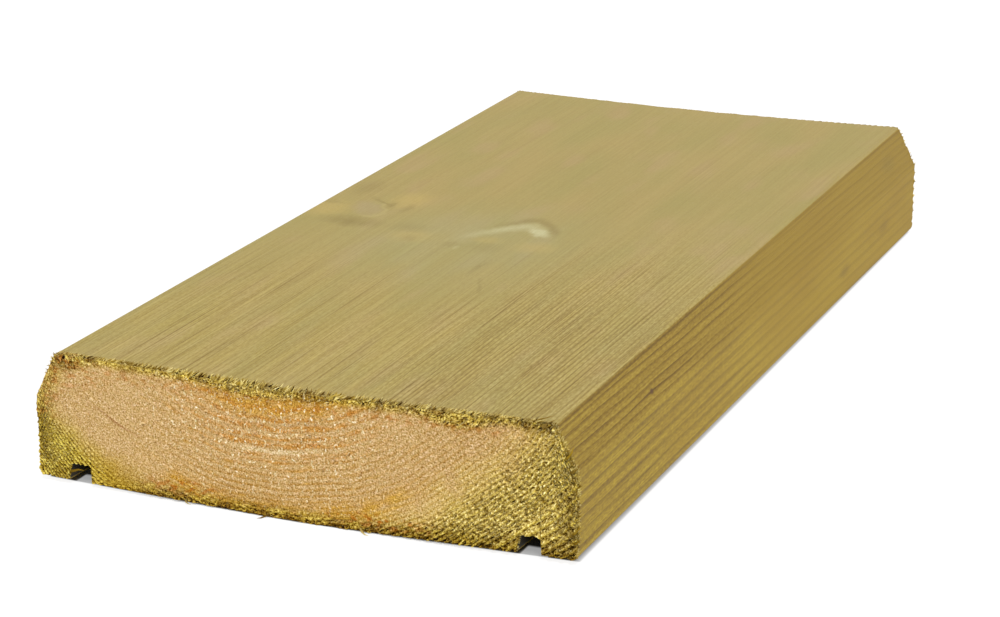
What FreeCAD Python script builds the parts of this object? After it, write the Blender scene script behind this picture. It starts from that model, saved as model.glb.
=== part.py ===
import FreeCAD, Part
import os
import Sketcher

# A planed softwood decking board: one length of timber, sawn off square at both ends.
# X runs across the board, Y along it and Z up from the underside that it lies on.
# The origin is the middle of the underside.

# Driving sizes in millimetres
SIZES = {
    "board_width": 145,
    "board_thickness": 34,
    "board_length": 300,
    "bevel_width": 6,
    "bevel_depth": 12,
    "shoulder_radius": 1.2,
    "bevel_foot_radius": 5,
    "base_radius": 1,
    "groove_width": 6,
    "groove_depth": 4,
    "groove_corner_radius": 1.5,
    "groove_inset": 12,
}

# How a sketch refers to its own level axis, which starts at its origin
LEVEL_AXIS = -1

doc = FreeCAD.newDocument("decking_board")
sheet = doc.addObject("Spreadsheet::Sheet", "sizes")
for row, (size_name, size_value) in enumerate(SIZES.items(), start=1):
    sheet.set(f"A{row}", size_name)
    sheet.set(f"B{row}", str(size_value))
    sheet.setAlias(f"B{row}", size_name)
doc.recompute()

board = doc.addObject("PartDesign::Body", "decking_board")
board.Label = "decking_board"
board.Placement = FreeCAD.Placement()


def origin_plane(role):
    """The body's own origin plane with this role."""
    return next(feature for feature in board.Origin.OriginFeatures if feature.Role == role)


def start_of(line):
    """The first point of a sketch's line, as its constraints refer to it."""
    return line, 1


def end_of(line):
    """The last point of a sketch's line, as its constraints refer to it."""
    return line, 2


def section_sketch(name, corners):
    """A loop of straight lines on the upright plane across the board, with its line numbers."""
    sketch = board.newObject("Sketcher::SketchObject", name)
    sketch.AttachmentSupport = [(origin_plane("XZ_Plane"), "")]
    sketch.MapMode = "FlatFace"
    points = [FreeCAD.Vector(x, z, 0) for x, z in corners]
    lines = []
    for start, end in zip(points, points[1:] + points[:1]):
        lines.append(sketch.addGeometry(Part.LineSegment(start, end), False))
    for line, following in zip(lines, lines[1:] + lines[:1]):
        joined = Sketcher.Constraint("Coincident", *end_of(line), *start_of(following))
        sketch.addConstraint(joined)
    return sketch, lines


def direct(sketch, kind, lines):
    """Makes each of the lines Horizontal or Vertical."""
    for line in lines:
        sketch.addConstraint(Sketcher.Constraint(kind, line))


def dimension(sketch, name, kind, start, end, expression):
    """A named distance from one point of the sketch to another, which follows the sheet."""
    size = float(sketch.evalExpression(expression))
    sketch.addConstraint(Sketcher.Constraint(kind, *start, *end, size))
    sketch.renameConstraint(sketch.ConstraintCount - 1, name)
    sketch.setExpression(f"Constraints.{name}", expression)


def rectangle_sketch(name, left, width, height):
    """A rectangle that stands on the line of the underside."""
    sketch, lines = section_sketch(name, [(0, 0), (1, 0), (1, 1), (0, 1)])
    foot, right_side, head, left_side = lines
    direct(sketch, "Horizontal", (foot, head))
    direct(sketch, "Vertical", (right_side, left_side))
    sketch.addConstraint(Sketcher.Constraint("PointOnObject", *start_of(foot), LEVEL_AXIS))
    dimension(sketch, "width", "DistanceX", start_of(foot), end_of(foot), width)
    dimension(sketch, "height", "DistanceY", start_of(right_side), end_of(right_side), height)
    dimension(sketch, "left", "DistanceX", start_of(LEVEL_AXIS), start_of(foot), left)
    return sketch


def cut_full_length(name, sketch):
    """Cuts the sketch out of the board from end to end, and proves that it took wood away."""
    before = board.Shape.Volume
    pocket = board.newObject("PartDesign::Pocket", name)
    pocket.Profile = sketch
    pocket.SideType = "Two sides"
    pocket.Type = "ThroughAll"
    pocket.Type2 = "ThroughAll"
    doc.recompute()
    if not board.Shape.Volume < before:
        raise RuntimeError(f"{name} took no wood away")
    return pocket


def runs_along(edge, x, z):
    """Whether an edge runs along the board at this place in its section."""
    miss = max(max(abs(end.X - x), abs(end.Z - z)) for end in edge.Vertexes)
    return miss < Part.Precision.approximation()


def round_long_edges(name, from_middle, height, radius):
    """Rounds the pair of edges along the board that lie this far from its middle and this high."""
    x = float(sheet.evalExpression(from_middle))
    z = float(sheet.evalExpression(height))
    base = board.Tip
    pair = [
        f"Edge{number}"
        for number, edge in enumerate(base.Shape.Edges, start=1)
        if runs_along(edge, x, z) or runs_along(edge, -x, z)
    ]
    if len(pair) != 2:
        raise RuntimeError(f"{name} finds {len(pair)} edges")
    fillet = board.newObject("PartDesign::Fillet", name)
    fillet.Base = (base, pair)
    fillet.setExpression("Radius", radius)
    doc.recompute()


# The blank: a straight plank, planed flat on both faces and sawn square at both ends
blank = board.newObject("PartDesign::Pad", "blank")
blank.Profile = rectangle_sketch(
    "blank_section", "-sizes.board_width / 2", "sizes.board_width", "sizes.board_thickness"
)
blank.SideType = "Symmetric"
blank.setExpression("Length", "sizes.board_length")
doc.recompute()

# The bevel along the top of one side, steeper than it is wide
bevel_section, (bevel_top, bevel_side, _) = section_sketch(
    "bevel_section", [(0, 1), (1, 1), (1, 0)]
)
direct(bevel_section, "Horizontal", (bevel_top,))
direct(bevel_section, "Vertical", (bevel_side,))
middle = start_of(LEVEL_AXIS)
corner = end_of(bevel_top)
dimension(bevel_section, "side", "DistanceX", middle, corner, "sizes.board_width / 2")
dimension(bevel_section, "top", "DistanceY", middle, corner, "sizes.board_thickness")
dimension(bevel_section, "width", "DistanceX", start_of(bevel_top), corner, "sizes.bevel_width")
dimension(bevel_section, "depth", "DistanceY", end_of(bevel_side), corner, "sizes.bevel_depth")
bevel = cut_full_length("bevel", bevel_section)

# The drip groove in the underside beside that edge, which stops water creeping inwards
groove_left = "sizes.board_width / 2 - sizes.groove_inset - sizes.groove_width / 2"
groove_section = rectangle_sketch(
    "groove_section", groove_left, "sizes.groove_width", "sizes.groove_depth"
)
drip_groove = cut_full_length("drip_groove", groove_section)

# The other side of the board is planed the same
both_sides = board.newObject("PartDesign::Mirrored", "both_sides")
both_sides.Originals = [bevel, drip_groove]
both_sides.MirrorPlane = (origin_plane("YZ_Plane"), [""])
board.Tip = both_sides
doc.recompute()

# The planer's soft edges: where the top meets the bevels, where the bevels meet the sides,
# at the foot of each side, and in the top corners of the grooves
side = "sizes.board_width / 2"
round_long_edges(
    "shoulders",
    f"{side} - sizes.bevel_width",
    "sizes.board_thickness",
    "min(sizes.shoulder_radius; sizes.bevel_width / 2)",
)
round_long_edges(
    "bevel_feet",
    side,
    "sizes.board_thickness - sizes.bevel_depth",
    "min(sizes.bevel_foot_radius; sizes.bevel_depth / 2)",
)
round_long_edges("side_feet", side, "0", "sizes.base_radius")
groove_middle = f"{side} - sizes.groove_inset"
for edge_name, wall in (("outer_groove_corners", "+"), ("inner_groove_corners", "-")):
    round_long_edges(
        edge_name,
        f"{groove_middle} {wall} sizes.groove_width / 2",
        "sizes.groove_depth",
        "min(sizes.groove_corner_radius; sizes.groove_width * 0.45; sizes.groove_depth * 0.9)",
    )

failed = [item.Name for item in doc.Objects if {"Invalid", "Error"} & set(item.State)]
if failed:
    raise RuntimeError(f"failed: {failed}")
shape = board.Shape
if shape.isNull() or not shape.isValid() or len(shape.Solids) != 1:
    raise RuntimeError("the board is not one valid solid")

os.makedirs("parts", exist_ok=True)
shape.exportStep(f"parts/{board.Label}.step")
print(f"decking board: {shape.Volume:.0f} cubic mm, box {shape.BoundBox}")
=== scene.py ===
import math

import bmesh
import bpy
import numpy as np
from mathutils import Matrix, Vector, noise


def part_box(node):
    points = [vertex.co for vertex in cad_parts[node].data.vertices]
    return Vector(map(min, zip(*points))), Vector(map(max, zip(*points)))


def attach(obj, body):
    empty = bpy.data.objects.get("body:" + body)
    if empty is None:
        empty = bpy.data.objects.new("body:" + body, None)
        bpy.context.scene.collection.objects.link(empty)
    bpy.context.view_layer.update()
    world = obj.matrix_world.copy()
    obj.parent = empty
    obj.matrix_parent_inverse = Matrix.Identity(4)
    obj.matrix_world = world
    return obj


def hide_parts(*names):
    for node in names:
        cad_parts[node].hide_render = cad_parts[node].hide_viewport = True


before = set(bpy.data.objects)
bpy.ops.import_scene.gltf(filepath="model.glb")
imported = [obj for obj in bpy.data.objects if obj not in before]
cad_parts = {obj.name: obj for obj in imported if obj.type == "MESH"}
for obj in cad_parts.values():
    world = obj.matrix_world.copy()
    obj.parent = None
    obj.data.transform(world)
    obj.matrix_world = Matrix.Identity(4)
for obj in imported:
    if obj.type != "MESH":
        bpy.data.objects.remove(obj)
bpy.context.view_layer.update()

# The board: one length of redwood, planed to a moulded section with a bevel along each top
# edge and a drip groove under each side, then pressure treated. Drying has cupped it, so that
# its sides stand a little higher than its middle.
MM = 0.001
board_low, board_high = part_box("decking_board")
HALF_WIDTH = board_high.x / MM
THICKNESS = board_high.z / MM
HALF_LENGTH = board_high.y / MM
BEVEL_WIDTH = 6
BEVEL_DEPTH = 12
SHOULDER_RADIUS = 1.2
BEVEL_FOOT_RADIUS = 5
BASE_RADIUS = 1
GROOVE_WIDTH = 6
GROOVE_DEPTH = 4
GROOVE_CORNER_RADIUS = 1.5
GROOVE_MIDDLE = HALF_WIDTH - 12
WALL_DRAFT = 0.15
TORN_FLANK = 0.8
TORN_FLANK_LENGTH = 7
CUP_POWER = 1.15
NEAR_FOOT_LIFT = 1.75
FAR_FOOT_LIFT = 0.56
NEAR_TOP_SINK = 0.7
FAR_TOP_SINK = 0.1
NEAR_TOP_LIFT = 1.42
FAR_TOP_LIFT = 0.5
FAR_CORNER_REACH = 0.7
FAR_HOLLOW = 2.2
PITH_X = -8
PITH_Z = 86
FIRST_RING = 52
ROW_PLACE = 0.6


class Number:
    """A number that a material's nodes work out, written as plain arithmetic."""

    def __init__(self, tree, socket):
        self.tree = tree
        self.socket = socket

    def math(self, operation, *values):
        node = self.tree.nodes.new("ShaderNodeMath")
        node.operation = operation
        for place, value in enumerate(values):
            if isinstance(value, Number):
                self.tree.links.new(value.socket, node.inputs[place])
            else:
                node.inputs[place].default_value = value
        return Number(self.tree, node.outputs[0])

    def __add__(self, other):
        return self.math("ADD", self, other)

    def __radd__(self, other):
        return self.math("ADD", other, self)

    def __sub__(self, other):
        return self.math("SUBTRACT", self, other)

    def __rsub__(self, other):
        return self.math("SUBTRACT", other, self)

    def __mul__(self, other):
        return self.math("MULTIPLY", self, other)

    def __rmul__(self, other):
        return self.math("MULTIPLY", other, self)

    def __truediv__(self, other):
        return self.math("DIVIDE", self, other)

    def __rtruediv__(self, other):
        return self.math("DIVIDE", other, self)

    def __pow__(self, power):
        return self.math("POWER", self, power)

    def __mod__(self, step):
        return self.math("FLOORED_MODULO", self, step)

    def __abs__(self):
        return self.math("ABSOLUTE", self)


def sine(value):
    """The sine of a node's number or of an array."""
    return value.math("SINE", value) if isinstance(value, Number) else np.sin(value)


def greater(value, other):
    """The greater of a node's number or an array, and another one."""
    if isinstance(value, Number):
        return value.math("MAXIMUM", value, other)
    return np.maximum(value, other)


def lesser(value, other):
    """The lesser of a node's number or an array, and another one."""
    if isinstance(value, Number):
        return value.math("MINIMUM", value, other)
    return np.minimum(value, other)


def ramp(value, low, high):
    """0 up to low, 1 from high on, and smooth between them."""
    if isinstance(high, Number):
        value, low, high = (value - low) / (high - low), 0, 1
    if isinstance(value, Number):
        node = value.tree.nodes.new("ShaderNodeMapRange")
        node.interpolation_type = "SMOOTHSTEP"
        value.tree.links.new(value.socket, node.inputs["Value"])
        node.inputs["From Min"].default_value = low
        node.inputs["From Max"].default_value = high
        return Number(value.tree, node.outputs[0])
    share = np.clip((value - low) / (high - low), 0, 1)
    return share * share * (3 - 2 * share)


def bump_at(value, middle, reach):
    """1 at the middle, and smoothly 0 from reach away on either side."""
    return 1 - ramp(abs(value - middle), 0, reach)


def along(y, near, far):
    """A value that changes evenly from the near end to the far one."""
    return near + (y + HALF_LENGTH) * ((far - near) / (2 * HALF_LENGTH))


def foot_lift(x, y):
    """How far the cupped board's underside rises above the floor."""
    return along(y, NEAR_FOOT_LIFT, FAR_FOOT_LIFT) * (abs(x) / HALF_WIDTH) ** CUP_POWER


def top_lift(x, y):
    """How far the cupped board's top lies above the flat one's, or below it in the middle."""
    rise = along(y, NEAR_TOP_LIFT, FAR_TOP_LIFT) * (abs(x) / HALF_WIDTH) ** CUP_POWER
    return rise - along(y, NEAR_TOP_SINK, FAR_TOP_SINK)


def ring_distance(x, y, z):
    """The distance from the heart of the tree, with the wander of real growth rings."""
    across = x - PITH_X - 0.006 * y
    below = PITH_Z - z + 0.009 * y
    turn = across / below
    wander = 0.55 * sine(turn * 4.7 + y * 0.017)
    wander = wander + 0.32 * sine(turn * 10.3 - y * 0.031 + 1.7)
    wander = wander + 0.14 * sine(turn * 27.0 + y * 0.052 + 4.0)
    return (across ** 2 + below ** 2) ** 0.5 + wander


def ring_count(distance, x):
    """How many rings lie within this distance: wide at first, then narrow, then wide again."""
    grown = greater(distance - FIRST_RING + 1, 0)
    crowded = greater(-45 - x, 0)
    inner = 0.28 * grown + 0.0068 * grown ** 2
    return inner - 0.5 * greater(grown - 51, 0) + 0.011 * crowded ** 2


def sapwood(distance):
    """0 in the tan heartwood and 1 in the green sapwood outside it."""
    return ramp(distance, 84.5, 95.5)


def edge_depth(x, y, z):
    """How deep a place on a sawn end lies below the nearest planed face."""
    from_side = HALF_WIDTH - abs(x)
    below_top = THICKNESS + top_lift(x, y) - z
    steep = BEVEL_DEPTH / BEVEL_WIDTH
    below_bevel = (below_top - (BEVEL_WIDTH - from_side) * steep) / (1 + steep ** 2) ** 0.5
    above_foot = z - foot_lift(x, y)
    return lesser(lesser(from_side, above_foot), lesser(below_top, below_bevel))


def fringe(x, y, z):
    """1 in the strip along the planed faces that the treatment has turned green."""
    below_top = THICKNESS + top_lift(x, y) - z
    thick = 1.5 + 1.4 * bump_at(x, -12, 15) + 2.1 * bump_at(x, 42, 13) + 2.0 * bump_at(x, -64, 9)
    top = 1 - ramp(below_top - thick, -1.0, 1.6)
    low = 1 - ramp(z - foot_lift(x, y), 0.9, 4.0 + 1.8 * ramp(x, 22, 40))
    low = low * (0.3 + 0.7 * ramp(x, -50, -36))
    right = 0.8 * (1 - ramp(HALF_WIDTH - x, 1.5, 8))
    deep = edge_depth(x, y, z)
    rim = 0.7 * (1 - ramp(deep, 0.3, 1.8))
    left = 0.8 * (1 - ramp(deep, 0.5, 7)) * (1 - ramp(x, -66, -54))
    return greater(greater(top, low), greater(right, greater(rim, left)))


def stripes(x, distance):
    """The even rows of torn fibre in the sapwood at the left, from -1 in their gaps to 1 on them; the darker
    gaps this gives are painted shade.
    """
    rows = ring_count(distance, x) - ROW_PLACE
    return sine(rows * (2 * math.pi) + math.pi / 2) * (1 - ramp(x, -60, -50)) * ramp(distance, 86, 90)


def in_top_fringe(x, y, z):
    """1 in the torn strip right under the top, and 0 from a few millimetres below it on."""
    return 1 - ramp(THICKNESS + top_lift(x, y) - z, 2.5, 5)


def calm(x):
    """1 in the smooth yellow sapwood beside the left groove, where the saw has torn little."""
    return bump_at(x, -48, 15)


def foot_shade(x, y, z):
    """1 along the foot of a sawn end, where its torn edge stands in its own shadow."""
    height = z - foot_lift(x, y)
    return (1 - ramp(height, 0.2, 1.5) + 0.35 * (1 - ramp(height, 2, 7))) * ramp(x, -58, -42)


def top_line(x):
    """The height of the section's upper side, before cupping."""
    side = abs(x)
    shoulder = HALF_WIDTH - BEVEL_WIDTH
    steep = BEVEL_DEPTH / BEVEL_WIDTH
    slope = math.atan(steep)
    round_start = shoulder - SHOULDER_RADIUS * math.tan(slope / 2)
    round_end = round_start + SHOULDER_RADIUS * math.sin(slope)
    foot_centre = HALF_WIDTH - BEVEL_FOOT_RADIUS
    foot_start = foot_centre + BEVEL_FOOT_RADIUS * math.sin(slope)
    turn = math.pi / 2 - slope
    foot_height = THICKNESS - BEVEL_DEPTH - BEVEL_FOOT_RADIUS * math.tan(turn / 2)
    in_round = np.sqrt(np.clip(SHOULDER_RADIUS ** 2 - (side - round_start) ** 2, 0, None))
    in_foot = np.sqrt(np.clip(BEVEL_FOOT_RADIUS ** 2 - (side - foot_centre) ** 2, 0, None))
    return np.select(
        [side < round_start, side < round_end, side < foot_start],
        [THICKNESS + 0 * side, THICKNESS - SHOULDER_RADIUS + in_round,
         THICKNESS - (side - shoulder) * steep],
        foot_height + in_foot,
    )


def bottom_line(x, y):
    """The height of the section's lower side, with its grooves, before cupping."""
    side = abs(x)
    near = 1 - ramp(y + HALF_LENGTH, 0, TORN_FLANK_LENGTH)
    torn_left = (x < 0) & (side > GROOVE_MIDDLE)
    torn_right = (x > 0) & (side < GROOVE_MIDDLE)
    torn = near * (torn_left | torn_right)
    draft = WALL_DRAFT + TORN_FLANK * torn
    torn_depth = 0.5 * near
    corner = GROOVE_CORNER_RADIUS - 0.6 * near - 0.4 * torn
    inside = GROOVE_WIDTH / 2 - abs(side - GROOVE_MIDDLE) + 0.5 * torn
    wall = GROOVE_DEPTH + torn_depth - corner
    into_round = np.clip(draft + corner - inside, 0, corner)
    rounded = wall + np.sqrt(corner ** 2 - into_round ** 2)
    groove = np.where(inside < draft, wall * inside / draft, rounded)
    into_base = np.clip(side - HALF_WIDTH + BASE_RADIUS, 0, BASE_RADIUS)
    base = BASE_RADIUS - np.sqrt(BASE_RADIUS ** 2 - into_base ** 2)
    return np.where(inside > 0, groove, base)


def far_bow(x):
    """How far the far end reaches out at its corners, and falls short in its middle."""
    return FAR_CORNER_REACH - FAR_HOLLOW * (1 - (x / HALF_WIDTH) ** 2)


def end_plane(x, y):
    """Where a sawn end lies along the board: flat at the near end, and a little hollow at the far."""
    return np.where(y < 0, -HALF_LENGTH, HALF_LENGTH + far_bow(x))


def spaced(count, steps):
    """Places across the board, closer together wherever a step (from, to, gap) asks for it."""
    fine = np.linspace(-HALF_WIDTH, HALF_WIDTH, 20001)
    density = np.ones_like(fine)
    for start, end, gain in steps:
        density = np.where((abs(fine) > start) & (abs(fine) < end), gain, density)
    along = np.concatenate([[0], np.cumsum((density[1:] + density[:-1]) / 2)])
    return np.interp(np.linspace(0, along[-1], count + 1), along, fine)


def rough(places, grain):
    """Perlin noise at each place, in cells of the grain's size."""
    return np.array([noise.noise(Vector(place) / grain) for place in places])


def raggedness(x, y, z):
    """How deeply the saw has torn the end here: little in the heartwood, most at the edges."""
    distance = ring_distance(x, y, z)
    ragged = 0.1 + 0.15 * sapwood(distance) + 0.12 * fringe(x, y, z)
    return (ragged + 0.08 * ramp(x, 30, 60)) * (1 - 0.4 * calm(x))


def end_relief(x, y, z, seed):
    """How far a sawn end stands out here: the ring ridges, and the wool that the saw left."""
    count = ring_count(ring_distance(x, y, z), x)
    ridge = ramp(count % 1, 0.2, 0.6) * (1 - ramp(count % 1, 0.75, 1.0))
    flat = np.stack([x, z, 0 * x + seed], 1)
    wool = 0.8 * rough(flat, 0.75) + rough(flat, 0.4)
    shaggy = ramp(raggedness(x, y, z), 0.1, 0.25)
    return raggedness(x, y, z) * ((0.3 + 1.4 * shaggy) * (ridge - 0.6) + 1.4 * wool)


COLUMNS = 392
ROWS = 88
LENGTHS = 30
FINE_STEPS = [(56.8, 58.6, 2.2), (62.6, 64.2, 2.6), (65.6, 67.1, 1.6), (71.6, 72.6, 3.0)]

board_mesh = bpy.data.meshes.new("planed_board")
shaping = bmesh.new()
bmesh.ops.create_grid(shaping, x_segments=COLUMNS, y_segments=ROWS, size=0.5)
sawn_end = shaping.faces[:]
grown = bmesh.ops.extrude_face_region(shaping, geom=sawn_end, use_keep_orig=True)["geom"]
far_corners = [item for item in grown if isinstance(item, bmesh.types.BMVert)]
bmesh.ops.translate(shaping, verts=far_corners, vec=(0, 0, 1))
long_edges = [edge for edge in shaping.edges if abs(edge.verts[0].co.z - edge.verts[1].co.z) > 0.5]
bmesh.ops.subdivide_edges(shaping, edges=long_edges, cuts=LENGTHS - 1, use_grid_fill=True)
bmesh.ops.reverse_faces(shaping, faces=sawn_end)
for face in shaping.faces:
    heights = [corner.co.z for corner in face.verts]
    face.smooth = max(heights) - min(heights) > 1e-6
    face.material_index = 0 if face.smooth else 1
for edge in shaping.edges:
    edge.smooth = len({face.smooth for face in edge.link_faces}) == 1
shaping.to_mesh(board_mesh)
shaping.free()

places = np.zeros(len(board_mesh.vertices) * 3)
board_mesh.vertices.foreach_get("co", places)
column, row, length = places.reshape(-1, 3).T
column_places = spaced(COLUMNS, FINE_STEPS)
x = np.interp(column + 0.5, np.linspace(0, 1, COLUMNS + 1), column_places)
y = HALF_LENGTH * np.sin((length - 0.5) * math.pi)
y = y * abs(end_plane(x, y)) / HALF_LENGTH
bottom = bottom_line(x, y)
bottom = bottom + foot_lift(x, y)
z = bottom + (row + 0.5) * (top_line(x) + top_lift(x, y) - bottom)
for outward, at_end, seed in ((-1, length < 1e-6, 3), (1, length > 1 - 1e-6, 8)):
    y[at_end] += outward * end_relief(x[at_end], y[at_end], z[at_end], seed)
z = np.clip(z, 0.02, None)
board_mesh.vertices.foreach_set("co", (np.stack([x, y, z], 1) * MM).ravel())
board_mesh.update()
planed_board = bpy.data.objects.new("planed_board", board_mesh)
bpy.context.scene.collection.objects.link(planed_board)


def srgb(red, green, blue):
    """A colour as it is seen, 0 to 255, as the linear one that a shader takes."""
    seen = [part / 255 for part in (red, green, blue)]
    linear = [s / 12.92 if s <= 0.04045 else ((s + 0.055) / 1.055) ** 2.4 for s in seen]
    return (*linear, 1)


class Finish:
    """A material, and the nodes that make up its pattern."""

    def __init__(self, name, roughness, specular):
        self.material = bpy.data.materials.new(name)
        self.material.use_nodes = True
        self.tree = self.material.node_tree
        self.shader = self.tree.nodes["Principled BSDF"]
        self.shader.inputs["Roughness"].default_value = roughness
        self.shader.inputs["Specular IOR Level"].default_value = specular

    def place(self):
        """The place on the object in millimetres, as three numbers."""
        found = self.tree.nodes.new("ShaderNodeTexCoord")
        return self.parts(found.outputs["Object"], 1 / MM)

    def parts(self, socket, scale=1.0):
        """A vector's three numbers."""
        split = self.tree.nodes.new("ShaderNodeSeparateXYZ")
        self.tree.links.new(socket, split.inputs[0])
        numbers = [Number(self.tree, output) for output in split.outputs]
        return numbers if scale == 1.0 else [number * scale for number in numbers]

    def attribute(self, name, output="Fac"):
        """What the mesh says of itself under this name."""
        found = self.tree.nodes.new("ShaderNodeAttribute")
        found.attribute_name = name
        return found.outputs[output]

    def noise(self, x, y, z, detail=1.0, roughness=0.5):
        """Noise about 0, from -0.5 to 0.5, with cells one unit wide."""
        joined = self.tree.nodes.new("ShaderNodeCombineXYZ")
        for number, socket in zip((x, y, z), joined.inputs):
            if isinstance(number, Number):
                self.tree.links.new(number.socket, socket)
            else:
                socket.default_value = number
        texture = self.tree.nodes.new("ShaderNodeTexNoise")
        texture.inputs["Scale"].default_value = 1.0
        texture.inputs["Detail"].default_value = detail
        texture.inputs["Roughness"].default_value = roughness
        self.tree.links.new(joined.outputs[0], texture.inputs["Vector"])
        return Number(self.tree, texture.outputs[0]) - 0.5

    def mix(self, share, first, second, blend_type="MIX"):
        """A colour that goes from the first to the second as the share goes from 0 to 1."""
        node = self.tree.nodes.new("ShaderNodeMix")
        node.data_type = "RGBA"
        node.blend_type = blend_type
        node.clamp_factor = True
        for value, socket in ((share, node.inputs[0]), (first, node.inputs[6]), (second, node.inputs[7])):
            if isinstance(value, Number):
                self.tree.links.new(value.socket, socket)
            elif isinstance(value, bpy.types.NodeSocket):
                self.tree.links.new(value, socket)
            else:
                socket.default_value = value
        return node.outputs[2]

    def shade(self, colour, share):
        """The colour made brighter above 1 and darker below, and richer the darker it is."""
        share = greater(share, 0.05)
        joined = self.tree.nodes.new("ShaderNodeCombineXYZ")
        for power, socket in zip((1.0, 1.25, 2.2), joined.inputs):
            self.tree.links.new((share ** power).socket, socket)
        node = self.tree.nodes.new("ShaderNodeVectorMath")
        node.operation = "MULTIPLY"
        self.tree.links.new(colour, node.inputs[0])
        self.tree.links.new(joined.outputs[0], node.inputs[1])
        return node.outputs[0]

    def bump(self, height, distance):
        """Raises the surface by the height times the distance in millimetres."""
        node = self.tree.nodes.new("ShaderNodeBump")
        node.inputs["Strength"].default_value = 1.0
        node.inputs["Distance"].default_value = distance * MM
        self.tree.links.new(height.socket, node.inputs["Height"])
        self.tree.links.new(node.outputs[0], self.shader.inputs["Normal"])

    def colour(self, socket):
        self.tree.links.new(socket, self.shader.inputs["Base Color"])


HEART_PALE = srgb(211, 177, 117)
HEART_RING = srgb(190, 146, 76)
HEART_WHITE = srgb(248, 231, 184)
HEART_PINK = srgb(212, 173, 123)
HEART_RED = srgb(150, 92, 44)
RUST = srgb(186, 116, 30)
ORANGE = srgb(206, 157, 58)
ARC_ORANGE = srgb(200, 140, 58)
SAP_PALE = srgb(238, 217, 131)
SAP_RING = srgb(202, 174, 68)
YELLOW = srgb(186, 148, 36)
OLIVE = srgb(184, 158, 34)
FRINGE_PALE = srgb(210, 183, 70)
FRINGE_DARK = srgb(132, 98, 8)


def spot(x, y, middle, size, soft=0.35):
    """1 inside an oval with this middle and these half sizes, and 0 outside it."""
    away = (((x - middle[0]) / size[0]) ** 2 + ((y - middle[1]) / size[1]) ** 2) ** 0.5
    return 1 - ramp(away, 1 - soft, 1 + soft)


def ring_arc(x, z):
    """The length along the rings from straight below the heart of the tree."""
    across = x - PITH_X
    below = PITH_Z - z
    return across.math("ARCTAN2", across, below) * 80


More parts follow.
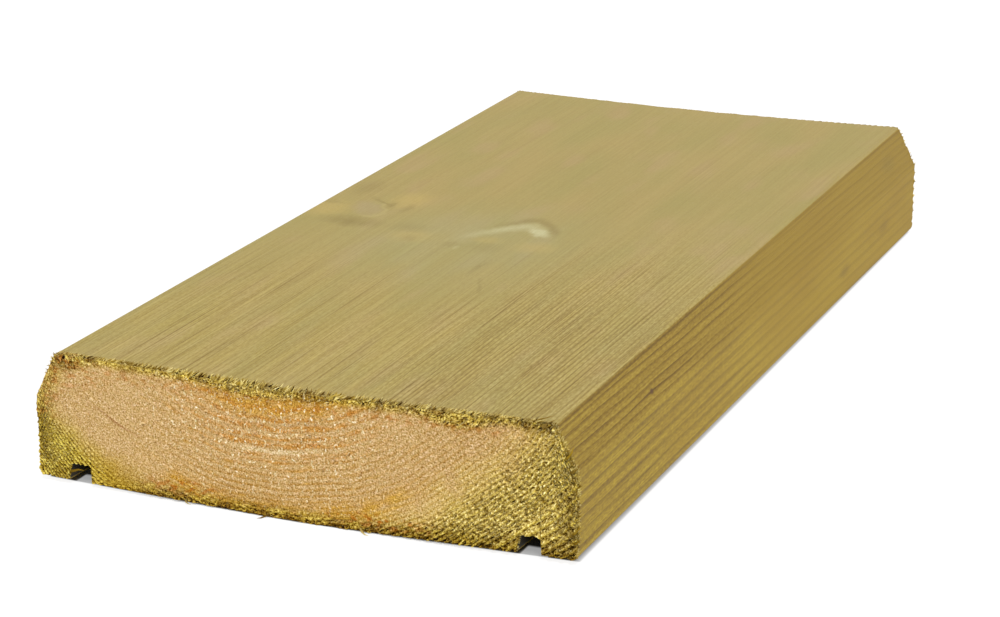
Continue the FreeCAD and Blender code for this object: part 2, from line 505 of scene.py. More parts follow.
def sawn_colour(finish, x, y, z):
    """The colour of a sawn end: rings of heartwood, sapwood outside, and a green fringe."""
    distance = ring_distance(x, y, z)
    count = ring_count(distance, x)
    arc = ring_arc(x, z)
    patchy = finish.noise(x / 6, y / 6, z / 6)
    streaks = finish.noise(distance / 1.1, arc / 7, 2.0, 2.0)
    tufts = finish.noise(x / 1.3, 4.0, z / 1.3)
    late = ramp(count % 1, 0.3, 0.75) * (1 - ramp(count % 1, 0.8, 1.0))
    middle = 1 - ramp(abs(x - PITH_X), 16, 42)
    ringed = ramp(distance, 66, 76) * ramp(x, -45, -15)
    ringed = (0.2 + 0.25 * middle + 0.55 * ringed) * (0.9 + patchy * 2)
    colour = finish.mix(ramp(tufts, -0.2, 0.2) * 0.5, HEART_PALE, HEART_PINK)
    colour = finish.mix(late * ringed, colour, HEART_RING)
    top_arc = 0.8 * bump_at(distance, 55.4, 4.2)
    thin_arcs = 0.8 * (bump_at(distance, 61, 1.1) + bump_at(distance, 65.4, 1.2))
    thin_arcs = thin_arcs + 0.45 * (bump_at(distance, 63.4, 0.6) + bump_at(distance, 68.7, 0.5))
    arcs = top_arc * middle * (0.85 + streaks * 5)
    ring_lines = ramp(count % 1, 0.35, 0.65) * (1 - ramp(count % 1, 0.75, 1.0)) * bump_at(distance, 61, 15)
    thin_arcs = greater(thin_arcs, ring_lines) * bump_at(x, -4, 42) * (0.8 + streaks * 6)
    low_arc = bump_at(distance, 83.0, 5.0) * (1 - ramp(abs(x + 4), 24, 44)) * (0.7 + streaks * 2.5 + patchy * 2)
    warm = ramp(streaks, 0.03, 0.28) * (0.22 + 0.35 * middle)
    orange = greater(greater(arcs, low_arc), warm)
    under_top = bump_at(distance, 55.6, 5.2) * bump_at(x, -6, 38) * (1.1 + streaks * 3)
    colour = finish.mix(lesser(greater(orange, under_top), 0.9), colour, ORANGE)
    colour = finish.mix(lesser(thin_arcs, 0.75), colour, ARC_ORANGE)
    red_line = bump_at(distance + patchy, 78.1, 0.55) * bump_at(x, -50, 9)
    colour = finish.mix(red_line * 0.6, colour, HEART_RED)
    pale_band = bump_at(distance, 67.3, 1.3) * bump_at(x, -6, 20) * 0.45
    dots = finish.noise(x / 0.9, 9.0, z / 1.1)
    white = ramp(dots, 0.1, 0.18) * (0.2 + 0.75 * middle) * (1 - 0.5 * ramp(distance, 66, 76))
    colour = finish.mix(greater(white, pale_band), colour, HEART_WHITE)
    at_left = 1 - ramp(x, -50, -20)
    from_sap = (distance + patchy * (10 - 5 * at_left) - 88.5) / (8.5 - 4.2 * at_left)
    sap = ramp(from_sap, -1, 1)
    sap_colour = finish.mix(late, SAP_PALE, SAP_RING)
    sap_colour = finish.mix((1 - ramp(x, -60, -30)) * 0.7, sap_colour, OLIVE)
    sap_colour = finish.mix(bump_at(x, -48, 16) * 0.8, sap_colour, YELLOW)
    colour = finish.mix(sap, colour, sap_colour)
    flecks = finish.noise(x / 2.2, 7.0, z / 1.3)
    fringe_colour = finish.mix(0.45 + patchy * 4 + flecks * 2.5, FRINGE_PALE, FRINGE_DARK)
    colour = finish.mix(fringe(x, y, z + patchy * 2.4 + flecks * 2) * 0.8, colour, fringe_colour)
    under_fringe = bump_at(THICKNESS + top_lift(x, y) - z, 3.4, 2.6) * (1 - ramp(abs(x + 6), 58, 66))
    rust = greater(spot(x, z, (-31, 4.4), (9, 1.8), 0.8), spot(x, z, (22, 3.4), (12, 1.5), 0.8)) * 1.35
    rust = greater(rust, greater(under_fringe * 0.7, spot(x, z, (-62, 29.5), (9, 4), 0.8) * 0.7))
    by_left_edge = (1 - ramp(edge_depth(x, y, z), 3, 8)) * (1 - ramp(x, -64, -56)) * ramp(z, 15, 20)
    rust = greater(rust, by_left_edge * 0.8)
    return finish.mix(rust * ramp(flecks, -0.04, 0.14) * 0.72, colour, RUST)


TOP_KHAKI = srgb(174, 152, 87)
TOP_GREEN = srgb(167, 150, 83)
TOP_PINK = srgb(178, 152, 97)
TOP_YELLOW = srgb(178, 154, 74)
TOP_LINE = srgb(126, 98, 26)
TOP_MOSS = srgb(166, 157, 102)
SIDE_AMBER = srgb(181, 151, 34)
SIDE_DEEP = srgb(164, 130, 20)
SIDE_LINE = srgb(104, 74, 8)
SIDE_KNOT = srgb(96, 66, 30)
BEVEL_PAINTED_SHADE = srgb(154, 126, 44)
SIDE_LINES_FROM = 22
KNOT_GREY = srgb(173, 152, 106)
KNOT_RIM = srgb(184, 160, 80)
KNOT_DARK = srgb(134, 114, 52)
CRESCENT = srgb(198, 190, 139)
SWIRL = srgb(192, 166, 92)
KNOT_PALE = srgb(190, 172, 112)
KNOT_MARKS = (
    # middle, half sizes, how strongly and in what colour
    ((-62.5, -5.5), (6, 7), 0.6, SWIRL),
    ((-43, 11.5), (5, 7), 0.6, SWIRL),
    ((8, -18), (5, 4.5), 0.4, SWIRL),
    ((-7, -16), (4, 3), 0.3, SWIRL),
    ((-28.5, -21), (5.5, 5), 0.4, SWIRL),
    ((-50, -15), (7.5, 4), 0.45, KNOT_DARK),
    ((-50, -16.5), (1.5, 3), 0.25, KNOT_DARK),
    ((-46.4, 4.6), (1.2, 2.6), 0.36, KNOT_DARK),
    ((-40.6, 3.4), (1.2, 4.0), 0.28, KNOT_DARK),
    ((-60.5, 19), (3.6, 7), 0.3, KNOT_DARK),
    ((-64, 1), (2.8, 1.8), 0.28, KNOT_DARK),
    ((-32, -14), (4.5, 4), 0.18, KNOT_DARK),
    ((-28.2, -23), (2.2, 2.6), 0.22, KNOT_DARK),
    ((-5, -23), (4, 4), 0.18, KNOT_DARK),
    ((-15, -24), (2.8, 2.2), 0.2, KNOT_DARK),
    ((0.6, -39), (1.2, 5), 0.22, KNOT_DARK),
    ((-12.4, -26), (0.6, 1.6), 0.3, CRESCENT),
)
GROOVE_SHADE = srgb(34, 27, 10)


def planed_colour(finish, x, y, z):
    """The colour of the planed faces: pale khaki on top, amber on the sides and underneath, with painted shade
    on the bevels and inside the grooves, and a painted highlight along the top arris.
    """
    knot_pull = 2.2 * spot(x, y, (-53, 1), (13, 17), 0.6) + 1.2 * spot(x, y, (-2, -8), (12, 13), 0.6)
    distance = ring_distance(x, y, z) - knot_pull
    count = ring_count(distance, x)
    line = ramp(count % 1, 0.74, 0.93) * (1 - ramp(count % 1, 0.95, 1.0))
    drift = finish.noise(x / 16, y / 55, z / 16, 1.0)
    blotch = finish.noise(x / 9 + 7.3, y / 30, z / 9, 1.0)
    streak = finish.noise(x / 0.45, y / 60, z / 0.45, 2.0, 0.65)
    dash = finish.noise(x / 4 + 3.1, y / 22, z / 4)
    on_right = ramp(x, 0, 35)
    near = 1 - ramp(y + drift * 60 + (1 - on_right) * 40, -90, 25)
    tooth = finish.noise(x / 0.4, y / 1.6, z / 0.4, 1.0)
    top = finish.mix(0.5 + drift * 3, TOP_KHAKI, TOP_GREEN)
    top = finish.mix(ramp(blotch, 0.0, 0.25) * 0.7, top, TOP_PINK)
    top = finish.mix(near * (0.4 + dash), top, TOP_YELLOW)
    top = finish.mix(spot(x, y, (-10, -22), (30, 34), 0.6) * (0.4 + blotch), top, TOP_MOSS)
    top_lines = line * (0.06 + 0.6 * near) * (0.9 + dash * 2.6) * (1 - 0.6 * bump_at(x, -2, 26))
    rows = (x + finish.noise(y / 70, x / 9, 5.0) * 1.8) / 1.4
    row_line = ramp(rows % 1, 0.5, 0.82) * (1 - ramp(rows % 1, 0.86, 1.0))
    row_line = row_line * ramp(x, 8, 30) * (1 - ramp(y + drift * 60, -85, -5)) * (0.5 + dash * 1.5)
    top = finish.mix(row_line, top, TOP_LINE)
    scratch = finish.noise(x / 0.36 + 5.1, y / 50, z / 0.5, 1.0)
    top = finish.mix(ramp(scratch, 0.05, 0.3) * (0.14 + 0.85 * near), top, TOP_LINE)
    whisker = bump_at(x + 0.42 * (y + 48), 4.2, 1.1) * ramp(y, -64, -60) * (1 - ramp(y, -51, -48))
    whisker = greater(whisker, bump_at(x, 0.4, 0.9) * ramp(y, -50, -46) * (1 - ramp(y, -40, -37)))
    top = finish.mix(whisker * 0.25, top, KNOT_DARK)
    wavy_x = x + finish.noise(x / 3, y / 3, 0.0) * 2.2
    wavy_y = y + finish.noise(x / 3, y / 3, 9.0) * 3.5
    across_knot = wavy_x + 51.5 + 0.35 * (wavy_y + 1)
    oval = ((across_knot * 1.35) ** 2 + (wavy_y + 1) ** 2) ** 0.5
    top = finish.mix((1 - ramp(oval, 3.5, 9)) * 0.6, top, KNOT_GREY)
    top = finish.mix(bump_at(oval, 7.5, 2.0) * ramp(x, -53, -47) * 0.4, top, KNOT_PALE)
    for middle, size, share, tint in KNOT_MARKS:
        top = finish.mix(spot(wavy_x, wavy_y, middle, size, 0.8) * share, top, tint)
    slant = bump_at(wavy_y + 0.65 * (wavy_x + 51), 7, 1.6) * bump_at(x, -50.5, 7)
    top = finish.mix(slant * 0.4, top, KNOT_DARK)
    bow = 1 - 1.4 * (((x + 1) ** 2 + 9) ** 0.5 - 3)
    off_bow = wavy_y - bow
    halo = bump_at(off_bow, 6.4, 5.0) * ramp(x, -15, -3) * (1 - ramp(x, 8.2, 10.5))
    top = finish.mix(halo * 0.42, top, KNOT_DARK)
    slope = (x - 3.2) * 0.65 - (wavy_y + 3.2) * 0.76
    width = (x - 3.2) * 0.76 + (wavy_y + 3.2) * 0.65
    head = spot(slope, width, (0, 0), (5.0, 2.3), 0.6)
    tail = bump_at(off_bow, -0.2, 6.4) * ramp(x, -19, -7) * (1 - ramp(x, 3, 7)) * 0.62
    top = finish.mix(greater(head, tail), top, CRESCENT)
    side = finish.mix(0.3 + drift * 1.2 + 0.35 * ramp(y, -60, 90), SIDE_AMBER, SIDE_DEEP)
    level = z - foot_lift(x, y) + (y + HALF_LENGTH) * 0.006 + finish.noise(y / 40, z / 6, 1.0) * 1.1
    above = greater(level - SIDE_LINES_FROM, 0)
    rows = level * 0.3 + above * 0.28
    groove_line = ramp(rows % 1, 0.45, 0.85) * (1 - ramp(rows % 1, 0.88, 1.0))
    fine_line = ramp(rows % 1, 0.74, 0.9) * (1 - ramp(rows % 1, 0.92, 1.0))
    # The bevels are darkened against the sides: painted shade.
    on_bevel = ramp(z, 20.5, 24)
    side = finish.mix(on_bevel * 0.75, side, BEVEL_PAINTED_SHADE)
    uneven = 0.75 + finish.noise(rows % 1 - rows, y / 60, 3.0) * 1.6
    lines = greater(groove_line * 0.66, fine_line * (0.6 + 0.4 * on_bevel)) * uneven
    side = finish.mix(lines * (0.35 + 0.65 * near), side, SIDE_LINE)
    fine = finish.noise(z / 0.7, y / 45, x / 0.7 + 2.0, 2.0, 0.6)
    side = finish.mix(ramp(fine, 0.02, 0.3) * (0.12 + 0.35 * near), side, SIDE_LINE)
    side = finish.mix(spot(y, z, (-96, 25.6), (1.0, 0.6), 0.7) * 0.95, side, SIDE_KNOT)
    side = finish.mix(spot(y, z, (71.5, 9), (4.5, 1.6), 0.8) * 0.28, side, SIDE_KNOT)
    side = finish.mix(spot(y, z, (115, 11), (4.5, 1.8), 0.8) * 0.18, side, SIDE_KNOT)
    side = finish.mix(spot(y, z, (127, 28), (6, 2), 0.8) * 0.3, side, KNOT_DARK)
    # Inside the drip grooves the faces are darkened nearly to black: painted shade.
    groove_shade_share = (1 - ramp(abs(abs(x) - GROOVE_MIDDLE), 3.6, 4.2)) * (1 - ramp(z, 6, 8))
    side = finish.mix(groove_shade_share * ramp(z - foot_lift(x, y), 0.1, 0.5) * 0.97, side, GROOVE_SHADE)
    flat_height = z - top_lift(x, y)
    arris = bump_at(flat_height, THICKNESS - 1.0, 0.5) * (0.3 + 0.4 * near)
    side = finish.mix(arris, side, SIDE_LINE)
    on_top = ramp(flat_height, THICKNESS - 0.6, THICKNESS - 0.35)
    colour = finish.mix(on_top, side, top)
    # A thin lighter line along the top arris towards the near end: a painted highlight.
    edge = bump_at(flat_height, THICKNESS - 0.25, 0.35) * (1 - ramp(y, -40, 70)) * 0.08
    grain = streak * (0.25 + 0.6 * near) + tooth * (0.15 + near * (0.35 + 0.35 * on_right))
    return finish.shade(colour, 1 + edge + grain)


planed = Finish("planed_softwood", 0.62, 0.35)
x, y, z = planed.place()
planed.colour(planed_colour(planed, x, y, z))
planed.bump(planed.noise(x / 0.25, y / 12, z / 0.25, 1.0, 0.6), 0.13)

sawn = Finish("sawn_softwood", 0.85, 0.04)
x, y, z = sawn.place()
distance = ring_distance(x, y, z)
arc = ring_arc(x, z)
shaggy = ramp(sapwood(distance) + fringe(x, y, z), 0.1, 1.0)
grit = sawn.noise(x / 0.42, y / 0.42, z / 0.42, 1.0, 0.7)
strokes = sawn.noise(distance / 0.4, arc / 1.0, 6.0, 1.0, 0.7) * shaggy * (1 - 0.6 * calm(x))
tone = 1.0 + grit * (2.2 + 0.2 * shaggy) + strokes * (2.8 + 1.6 * in_top_fringe(x, y, z)) - 0.05 * shaggy
# How far the sawn end stands out lightens its tone, and how far it sinks in darkens it: painted light on the
# raised wool and painted shade in the hollows.
relief_light_and_shade = abs(y) - HALF_LENGTH - far_bow(x) * ramp(y, -1, 1)
# The gaps between the sapwood rows are darkened here: painted shade.
tone = tone + relief_light_and_shade * 0.9 - foot_shade(x, y, z) * 0.4 + stripes(x, distance) * 0.3
sawn.colour(sawn.shade(sawn_colour(sawn, x, y, z), tone))
sawn.bump(grit + strokes, 0.22)

planed_board.data.materials.append(planed.material)
planed_board.data.materials.append(sawn.material)
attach(planed_board, "root")
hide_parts("decking_board")

# The torn fibres: the saw leaves a wool of short fibre bundles on both sawn ends. It is thin
# and pale on the heartwood, and long, green and dark between on the sapwood and at the edges,
# and along the top and right edges of the near end it stands up over the planed faces.
TRIES = 300000
ROOT_DEPTH = 0.3
LOWEST = 0.02
HIGHEST = THICKNESS * 1.03 - 0.04
HEART_TIP_HIGHLIGHT = srgb(252, 230, 176)
SAP_TIP_HIGHLIGHT = srgb(246, 231, 160)
ROOT_PAINTED_SHADE = srgb(80, 56, 0)
SIDE_FUZZ = 1.2


def bundles(doublings):
    """Like pointed bundles of fibre, joined in one mesh, and the corners of each."""
    shaping = bmesh.new()
    bmesh.ops.create_cone(shaping, cap_ends=True, segments=3, radius1=1, radius2=0, depth=1)
    mesh = bpy.data.meshes.new("bundles")
    shaping.to_mesh(mesh)
    shaping.free()
    shaping = bmesh.new()
    shaping.from_mesh(mesh)
    for _ in range(doublings):
        bmesh.ops.duplicate(shaping, geom=shaping.verts[:] + shaping.edges[:] + shaping.faces[:])
    shaping.to_mesh(mesh)
    shaping.free()
    corners = np.zeros(len(mesh.vertices) * 3)
    mesh.vertices.foreach_get("co", corners)
    return mesh, corners.reshape(2 ** doublings, -1, 3)


def groove_distance(x, z):
    """How far a place is from the opening of the nearest drip groove."""
    beside = np.clip(abs(abs(x) - GROOVE_MIDDLE) - GROOVE_WIDTH / 2, 0, None)
    above = np.clip(z - GROOVE_DEPTH - NEAR_FOOT_LIFT * 0.8, 0, None)
    return np.hypot(beside, above)


def highest(x, y):
    """How high the fibres may stand: a little over the top at the near end, level with it at the far."""
    return np.where(y < 0, HIGHEST, THICKNESS + top_lift(x, y) + 0.1)


def end_places(chance, outward, tries):
    """Places strewn evenly over a sawn end."""
    x = chance.uniform(-HALF_WIDTH, HALF_WIDTH, tries)
    z = chance.uniform(0, THICKNESS + 2, tries)
    y = end_plane(x, np.full(tries, outward))
    inside = (z > bottom_line(x, y) + foot_lift(x, y)) & (z < top_line(x) + top_lift(x, y))
    return x[inside], y[inside], z[inside]


def ring_direction(x, z):
    """The direction along the rings, towards the right, at each place on an end."""
    across = x - PITH_X
    below = PITH_Z - z
    return np.stack([below, 0 * x, across], 1) / np.hypot(across, below)[:, None]


def up_the_rings(x, z):
    """The direction along the rings that leads up, which fades out below the heart."""
    return ring_direction(x, z) * np.clip((x - PITH_X) / 18, -1, 1)[:, None]


def into_rows(x, y, z, share):
    """Places drawn this share of the way to the late wood of the nearest ring."""
    distance = ring_distance(x, y, z)
    count = ring_count(distance, x)
    gain = (ring_count(distance + 0.1, x) - count) / 0.1
    out = share * (np.floor(count) + ROW_PLACE - count) / gain
    right, _, up = ring_direction(x, z).T
    return x + out * up, z - out * right


def wool(name, outward, doublings, seed, wanted, reach, lay, rows=0.0, girth=1.0, palest=0.0, lean=0.6):
    """Joined fibre bundles on a sawn end, where they are wanted, and as long as their reach.

    They lie along the rings, out of the end and across, by the three parts of lay.
    """
    chance = np.random.default_rng(seed)
    mesh, shape = bundles(doublings)
    total = len(shape)
    x, y, z = end_places(chance, outward, TRIES)
    picked = np.flatnonzero(chance.uniform(0, 1, len(x)) < wanted(x, y, z))[:total]
    if len(picked) < total:
        raise RuntimeError(f"{name} has places for {len(picked)} of {total} bundles")
    x, y, z = x[picked], y[picked], z[picked]
    x, z = into_rows(x, y, z, rows)
    low_side = bottom_line(x, y) + foot_lift(x, y)
    high_side = top_line(x) + top_lift(x, y)
    x = np.clip(x, 0.15 - HALF_WIDTH, HALF_WIDTH - 0.15)
    z = np.clip(z, low_side + 0.1, high_side - 0.1)
    size = np.clip(chance.lognormal(0, 0.3, total), 0.5, 1.6)
    length = reach(x, y, z) * size
    way = chance.standard_normal((total, 3)) * 0.3
    way += lay[0] * up_the_rings(x, z)
    way += lay[2] * np.array((lean, 0, (1 - lean ** 2) ** 0.5))
    way[:, 1] = outward * (way[:, 1] * 0.5 + lay[1])
    low = z - low_side < 1.2
    way[:, 2] = np.where(low, -0.1 * abs(way[:, 2]), way[:, 2])
    way[:, 0] = np.where(x < 3 - HALF_WIDTH, abs(way[:, 0]), way[:, 0])
    length = np.where(z - low_side < 3, 0.6 * length, length)
    length = np.where(low | (groove_distance(x, z) < 1.4), 0.4 * length, length)
    way /= np.linalg.norm(way, axis=1)[:, None]
    turn = chance.uniform(0, 2 * math.pi, total)
    flat = np.stack([np.cos(turn), 0 * turn, np.sin(turn)], 1)
    first = np.cross(way, flat)
    first /= np.linalg.norm(first, axis=1)[:, None]
    second = np.cross(way, first)
    wide = (0.065 + 0.12 * length ** 0.5) * girth
    first = first * wide[:, None]
    second = second * (wide * chance.uniform(0.45, 1, total))[:, None]
    up = shape[:, :, 2:3] + 0.5
    root = np.stack([x, y - outward * ROOT_DEPTH, z], 1)
    placed = root[:, None] + shape[:, :, 0:1] * first[:, None] + shape[:, :, 1:2] * second[:, None]
    placed = placed + up * (way * (length + ROOT_DEPTH)[:, None])[:, None]
    placed[:, :, 2] = np.clip(placed[:, :, 2], LOWEST, highest(x, y)[:, None])
    placed[:, :, 0] = np.clip(placed[:, :, 0], -HALF_WIDTH - SIDE_FUZZ, HALF_WIDTH + SIDE_FUZZ)
    mesh.vertices.foreach_set("co", (placed * MM).ravel())

    corners = shape.shape[1]
    for label, values in (
        ("tip", up[:, :, 0]),
        ("tone", np.repeat(chance.uniform(palest, 1, total)[:, None], corners, 1)),
        ("shaggy", np.repeat(np.clip(length / girth ** 2, 0, 1)[:, None], corners, 1)),
    ):
        layer = mesh.attributes.new(label, "FLOAT", "POINT")
        layer.data.foreach_set("value", values.astype(np.float32).ravel())
    foot = np.repeat(np.stack([x, y, z], 1)[:, None], corners, 1)
    layer = mesh.attributes.new("foot", "FLOAT_VECTOR", "POINT")
    layer.data.foreach_set("vector", foot.astype(np.float32).ravel())
    mesh.update()
    mesh.name = name
    piece = bpy.data.objects.new(name, mesh)
    bpy.context.scene.collection.objects.link(piece)
    return piece


SPLINTER_SIDES = 5
SPLINTERS = (
    # width, tone, and the points from the root to the tip
    (0.5, 0.55, ((63.6, -150.3, 33.6), (64.6, -149.6, 34.3), (65.4, -147.8, 34.5), (65.9, -145, 34.4))),
    (0.28, 0.3, ((60.5, -150.1, 34.0), (61.6, -148.6, 34.5), (63.2, -146, 34.5), (64.4, -143.5, 34.5))),
    (0.36, 0.0, ((69.4, -150.1, 26.6), (70.4, -150.9, 27.4), (71.2, -150.6, 28.6), (71.3, -149.6, 29.8))),
    (0.30, 0.1, ((70.6, -150.1, 23.4), (71.8, -150.8, 23.9), (72.8, -150.6, 25.0), (73.0, -150.0, 26.2))),
    (0.36, 0.1, ((71.4, -150.1, 8.2), (72.2, -150.8, 8.8), (73.0, -150.5, 9.8), (73.1, -150.0, 11.0))),
    (0.30, 0.2, ((71.6, -150.1, 6.0), (72.5, -150.7, 6.2), (73.2, -150.2, 7.0), (73.3, -149.6, 7.9))),
    (0.40, 0.1, ((-63.9, -149.8, 3.6), (-62.6, -150.3, 4.1), (-61.2, -150.2, 4.6), (-59.9, -149.8, 4.4))),
    (0.30, 0.8, ((-8.0, -150.0, 0.9), (-8.6, -151.0, 0.6), (-9.4, -151.8, 0.3), (-10.4, -152.2, 0.2))),
    (0.30, 0.8, ((16.6, -150.0, 1.0), (17.4, -151.0, 0.7), (18.6, -151.8, 0.4), (19.8, -152.0, 0.3))),
    (0.26, 0.9, ((-31.0, -150.0, 1.2), (-30.6, -150.9, 1.0), (-29.6, -151.5, 0.8), (-28.6, -151.7, 0.7))),
    (0.40, 0.5, ((-64.2, -150.1, 33.6), (-63.6, -149.6, 34.2), (-62.8, -148.9, 34.5), (-62.0, -148.2, 34.5))),
    (0.40, 0.4, ((-20.6, -150.1, 33.1), (-20.0, -149.7, 33.7), (-19.2, -149.2, 34.0), (-18.2, -148.7, 34.0))),
    (0.36, 0.1, ((-16.2, -150.2, 32.9), (-15.4, -150.0, 33.6), (-14.6, -149.4, 33.9), (-13.8, -148.9, 33.9))),
    (0.36, 0.5, ((9.2, -150.1, 33.1), (9.9, -149.7, 33.7), (10.8, -149.2, 34.0), (11.8, -148.7, 34.0))),
)


def splinters(name, torn):
    """The larger slivers that hang on at the edges, each tapering from its root to its tip."""
    shaping = bmesh.new()
    tips, tones, feet = [], [], []
    for width, tone, points in torn:
        points = [Vector(point) for point in points]
        facing = (points[1] - points[0]).to_track_quat("Z", "Y").to_matrix().to_4x4()
        rim = bmesh.ops.create_circle(
            shaping, cap_ends=True, segments=SPLINTER_SIDES, radius=width,
            matrix=Matrix.Translation(points[0]) @ facing,
        )["verts"]
        cap = rim[0].link_faces[0]
        steps = len(points) - 1
        for step in range(1, steps + 1):
            grown = bmesh.ops.extrude_face_region(shaping, geom=[cap])["geom"]
            bmesh.ops.delete(shaping, geom=[cap], context="FACES_ONLY")
            cap = next(item for item in grown if isinstance(item, bmesh.types.BMFace))
            thinner = (1 - (step / steps) ** 2 * 0.95) / (1 - ((step - 1) / steps) ** 2 * 0.95)
            bmesh.ops.translate(shaping, verts=cap.verts[:], vec=points[step] - points[step - 1])
            bmesh.ops.scale(
                shaping, verts=cap.verts[:], vec=(thinner,) * 3,
                space=Matrix.Translation(-points[step]),
            )
        for step in range(steps + 1):
            tips += [step / steps] * SPLINTER_SIDES
            tones += [tone] * SPLINTER_SIDES
            feet += [points[0]] * SPLINTER_SIDES
    bmesh.ops.recalc_face_normals(shaping, faces=shaping.faces[:])
    bmesh.ops.scale(shaping, verts=shaping.verts[:], vec=(MM,) * 3)
    mesh = bpy.data.meshes.new(name)
    shaping.to_mesh(mesh)
    shaping.free()
    for label, values in (("tip", tips), ("tone", tones), ("shaggy", [0.4] * len(tips))):
        mesh.attributes.new(label, "FLOAT", "POINT").data.foreach_set("value", values)
    foot = mesh.attributes.new("foot", "FLOAT_VECTOR", "POINT")
    foot.data.foreach_set("vector", np.array(feet, np.float32).ravel())
    piece = bpy.data.objects.new(name, mesh)
    bpy.context.scene.collection.objects.link(piece)
    return piece


def on_ridges(x, y, z):
    """1 on the hard late wood of each ring, where most bundles stand, and less between."""
    count = ring_count(ring_distance(x, y, z), x)
    return 0.45 + 0.55 * ramp(count % 1, 0.2, 0.6) * (1 - ramp(count % 1, 0.88, 1.0))


def in_shaggy_wood(x, y, z):
    return np.clip((raggedness(x, y, z) - 0.1) * 6, 0, 1) * on_ridges(x, y, z)


def in_heartwood(x, y, z):
    return np.clip(1.15 - (raggedness(x, y, z) - 0.1) * 5, 0, 1)


def along_top_and_right(x, y, z):
    below_top = THICKNESS + top_lift(x, y) - z
    at_right = (x > 60) & (edge_depth(x, y, z) < 0.9)
    return ((below_top < 0.9) | at_right) * 0.95


def long_reach(x, y, z):
    return 0.25 + 1.5 * raggedness(x, y, z)


def short_reach(x, y, z):
    return 0.16 + 0.8 * raggedness(x, y, z)


def fringe_reach(x, y, z):
    return 1.35 - 0.8 * ramp(x, 62, 68)


def in_early_wood(x, y, z):
    """1 in the middle, high up, where the soft wood of the first rings is torn into loose tufts."""
    return bump_at(x, PITH_X, 42) * ramp(z, 8, 24) * 0.6


def tuft_reach(x, y, z):
    return 0.95 + 0 * x


def far_reach(x, y, z):
    return 0.2 + 0.8 * raggedness(x, y, z)


fibre = Finish("torn_fibre", 0.85, 0.04)
x, y, z = fibre.parts(fibre.attribute("foot", "Vector"))
tip = Number(fibre.tree, fibre.attribute("tip"))
tone = Number(fibre.tree, fibre.attribute("tone"))
shaggy = Number(fibre.tree, fibre.attribute("shaggy"))
distance = ring_distance(x, y, z)
sap_share = sapwood(distance)
colour = sawn_colour(fibre, x, y, z)
green = greater(sap_share, fringe(x, y, z))
# Each bundle is darkened towards its root, more for long ones: painted shade in the gaps between the fibres.
colour = fibre.mix((1 - tip) * (0.1 + 0.6 * shaggy), colour, ROOT_PAINTED_SHADE)
tuft = fibre.noise(distance / 0.45, ring_arc(x, z) / 0.55, 3.0, 0.0)
at_top = in_top_fringe(x, y, z)
lightness = 0.7 + tone * 0.48 + tuft * (0.8 + 1.7 * green + 1.8 * at_top) * (1 - 0.5 * calm(x))
lightness = lightness + green * (tone * 0.2 - 0.06)
# Darker along the foot and in the gaps between the sapwood rows: painted shade.
lightness = lightness - foot_shade(x, y, z) * 0.4 + stripes(x, distance) * 0.22
colour = fibre.shade(colour, lightness)
# The bundles turn pale cream towards their tips: a painted highlight on the fibre ends.
tip_highlight_colour = fibre.mix(green, HEART_TIP_HIGHLIGHT, SAP_TIP_HIGHLIGHT)
pale = (0.25 + tip) * ramp(tone + tuft * 1.4, 0.35, 1.1) * (0.8 - 0.06 * at_top)
fibre.colour(fibre.mix(pale, colour, tip_highlight_colour))

fibre_pieces = (
    wool("near_shaggy_fibres", -1, 15, 11, in_shaggy_wood, long_reach, (0.9, 0.35, 0.1), 0.65),
    wool("near_short_fibres", -1, 15, 12, in_heartwood, short_reach, (0.4, 0.5, 0.2), 0.1),
    wool("near_fringe", -1, 12, 13, along_top_and_right, fringe_reach, (0.1, -0.35, 0.9), 0.0, 1.5, 0.1, 0.8),
    wool("near_loose_tufts", -1, 9, 16, in_early_wood, tuft_reach, (0.2, 0.45, 0.5), 0.0, 2.7, 0.95),
    wool("far_shaggy_fibres", 1, 14, 14, in_shaggy_wood, far_reach, (0.9, 0.35, 0.1), 0.65),
    wool("far_short_fibres", 1, 13, 15, in_heartwood, short_reach, (0.4, 0.5, 0.2), 0.1),
    splinters("near_splinters", SPLINTERS),
)
for piece in fibre_pieces:
    piece.data.materials.append(fibre.material)
    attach(piece, "root")

# The floor and the light: a plain pale studio floor, an even pale sky and one soft lamp high
# at the front right. The floor shows white, with a thin shadow painted from ambient occlusion
# where the board meets it.
FLOOR_SIZE = 3
CONTACT_REACH = 1.7

floor_mesh = bpy.data.meshes.new("floor")
floor_shape = bmesh.new()
bmesh.ops.create_grid(floor_shape, x_segments=1, y_segments=1, size=FLOOR_SIZE)
bmesh.ops.translate(floor_shape, verts=floor_shape.verts[:], vec=(0, 0, -0.02 * MM))
floor_shape.to_mesh(floor_mesh)
floor_shape.free()
floor = bpy.data.objects.new("floor", floor_mesh)
bpy.context.scene.collection.objects.link(floor)


def seen_rays(tree, path):
    """1 for what the camera sees, straight or in a gloss, and 0 for the light on the board."""
    camera_ray, glossy_ray, clear_ray = [
        Number(tree, path.outputs[f"Is {kind} Ray"]) for kind in ("Camera", "Glossy", "Transmission")
    ]
    return greater(camera_ray, greater(glossy_ray, clear_ray))


floor_material = bpy.data.materials.new("white_floor")
floor_material.use_nodes = True
tree = floor_material.node_tree
tree.nodes.clear()
path = tree.nodes.new("ShaderNodeLightPath")
contact = tree.nodes.new("ShaderNodeAmbientOcclusion")
contact.inputs["Distance"].default_value = CONTACT_REACH * MM
contact.samples = 4
openness = Number(tree, contact.outputs["AO"])
seen_share = ramp(openness, 0.0, 0.3)
place = tree.nodes.new("ShaderNodeTexCoord")
split = tree.nodes.new("ShaderNodeSeparateXYZ")
tree.links.new(place.outputs["Object"], split.inputs[0])
x, y, z = [Number(tree, output) / MM for output in split.outputs]
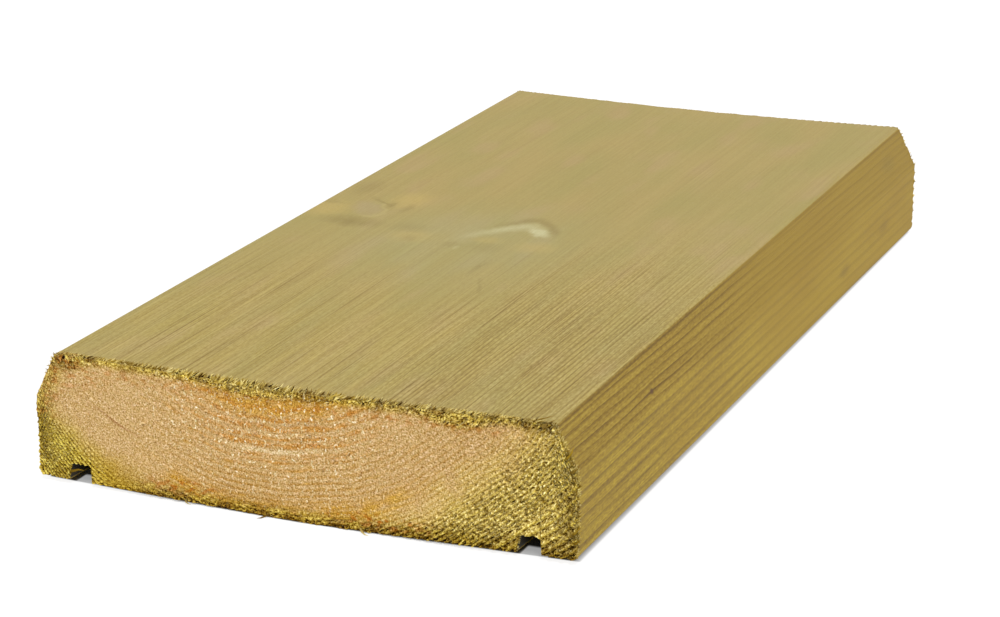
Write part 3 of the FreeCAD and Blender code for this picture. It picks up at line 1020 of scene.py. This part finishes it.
# Painted shadow on the floor: black under the board, grey a little way into the groove mouths, and lighter
# under the raised right side.
from_end = HALF_LENGTH - abs(y)
under = ramp(from_end - foot_lift(x, y) * 2.0, -0.5, 0.3) * ramp(HALF_WIDTH - abs(x), 0.2, 1.0)
groove_mouth_shade = (1 - ramp(abs(abs(x) - GROOVE_MIDDLE), 3.2, 3.8)) * (1 - ramp(from_end, 7.0, 8.5))
rim = ramp(x, HALF_WIDTH - 3.2, HALF_WIDTH - 0.6)
seen_share = seen_share * (1 - under) + under * greater(groove_mouth_shade * 0.38, rim * 0.6)
glow = tree.nodes.new("ShaderNodeEmission")
tree.links.new((seen_share * 0.88).socket, glow.inputs["Strength"])
lit = tree.nodes.new("ShaderNodeBsdfDiffuse")
lit.inputs["Color"].default_value = (0.2, 0.2, 0.2, 1)
seen = tree.nodes.new("ShaderNodeAddShader")
tree.links.new(glow.outputs[0], seen.inputs[0])
tree.links.new(lit.outputs[0], seen.inputs[1])
plain = tree.nodes.new("ShaderNodeBsdfDiffuse")
plain.inputs["Color"].default_value = (0.8, 0.8, 0.8, 1)
shown = tree.nodes.new("ShaderNodeMixShader")
tree.links.new(seen_rays(tree, path).socket, shown.inputs[0])
tree.links.new(plain.outputs[0], shown.inputs[1])
tree.links.new(seen.outputs[0], shown.inputs[2])
surface = tree.nodes.new("ShaderNodeOutputMaterial")
tree.links.new(shown.outputs[0], surface.inputs["Surface"])
floor.data.materials.append(floor_material)

SKY_LIGHT = 0.55
world = bpy.data.worlds.new("studio")
world.use_nodes = True
bpy.context.scene.world = world
tree = world.node_tree
sky = tree.nodes["Background"]
path = tree.nodes.new("ShaderNodeLightPath")
seen_sky = seen_rays(tree, path)
tree.links.new((seen_sky * (1 - SKY_LIGHT) + SKY_LIGHT).socket, sky.inputs["Strength"])
sky.inputs["Color"].default_value = (1, 1, 1, 1)

KEY_STRENGTH = 1.85
KEY_FROM = (0.29, -0.57, 0.77)
key = bpy.data.lights.new("soft_key", "SUN")
key.energy = KEY_STRENGTH
key.angle = math.radians(14)
key_lamp = bpy.data.objects.new("soft_key", key)
key_lamp.rotation_euler = Vector(KEY_FROM).to_track_quat("Z", "Y").to_euler()
bpy.context.scene.collection.objects.link(key_lamp)

CAMERA_PLACE = (0.29104, -0.71528, 0.26019)
CAMERA_TURN = 22.828
CAMERA_DROP = 17.986
CAMERA_ROLL = -0.100
camera = bpy.data.cameras.new("camera")
camera.sensor_width = 36
camera.lens = 101.40
camera_object = bpy.data.objects.new("camera", camera)
camera_object.matrix_world = (
    Matrix.Translation(CAMERA_PLACE)
    @ Matrix.Rotation(math.radians(CAMERA_TURN), 4, "Z")
    @ Matrix.Rotation(math.radians(90 - CAMERA_DROP), 4, "X")
    @ Matrix.Rotation(math.radians(CAMERA_ROLL), 4, "Z")
)
bpy.context.scene.collection.objects.link(camera_object)
bpy.context.scene.camera = camera_object
bpy.context.scene.view_settings.view_transform = "Standard"
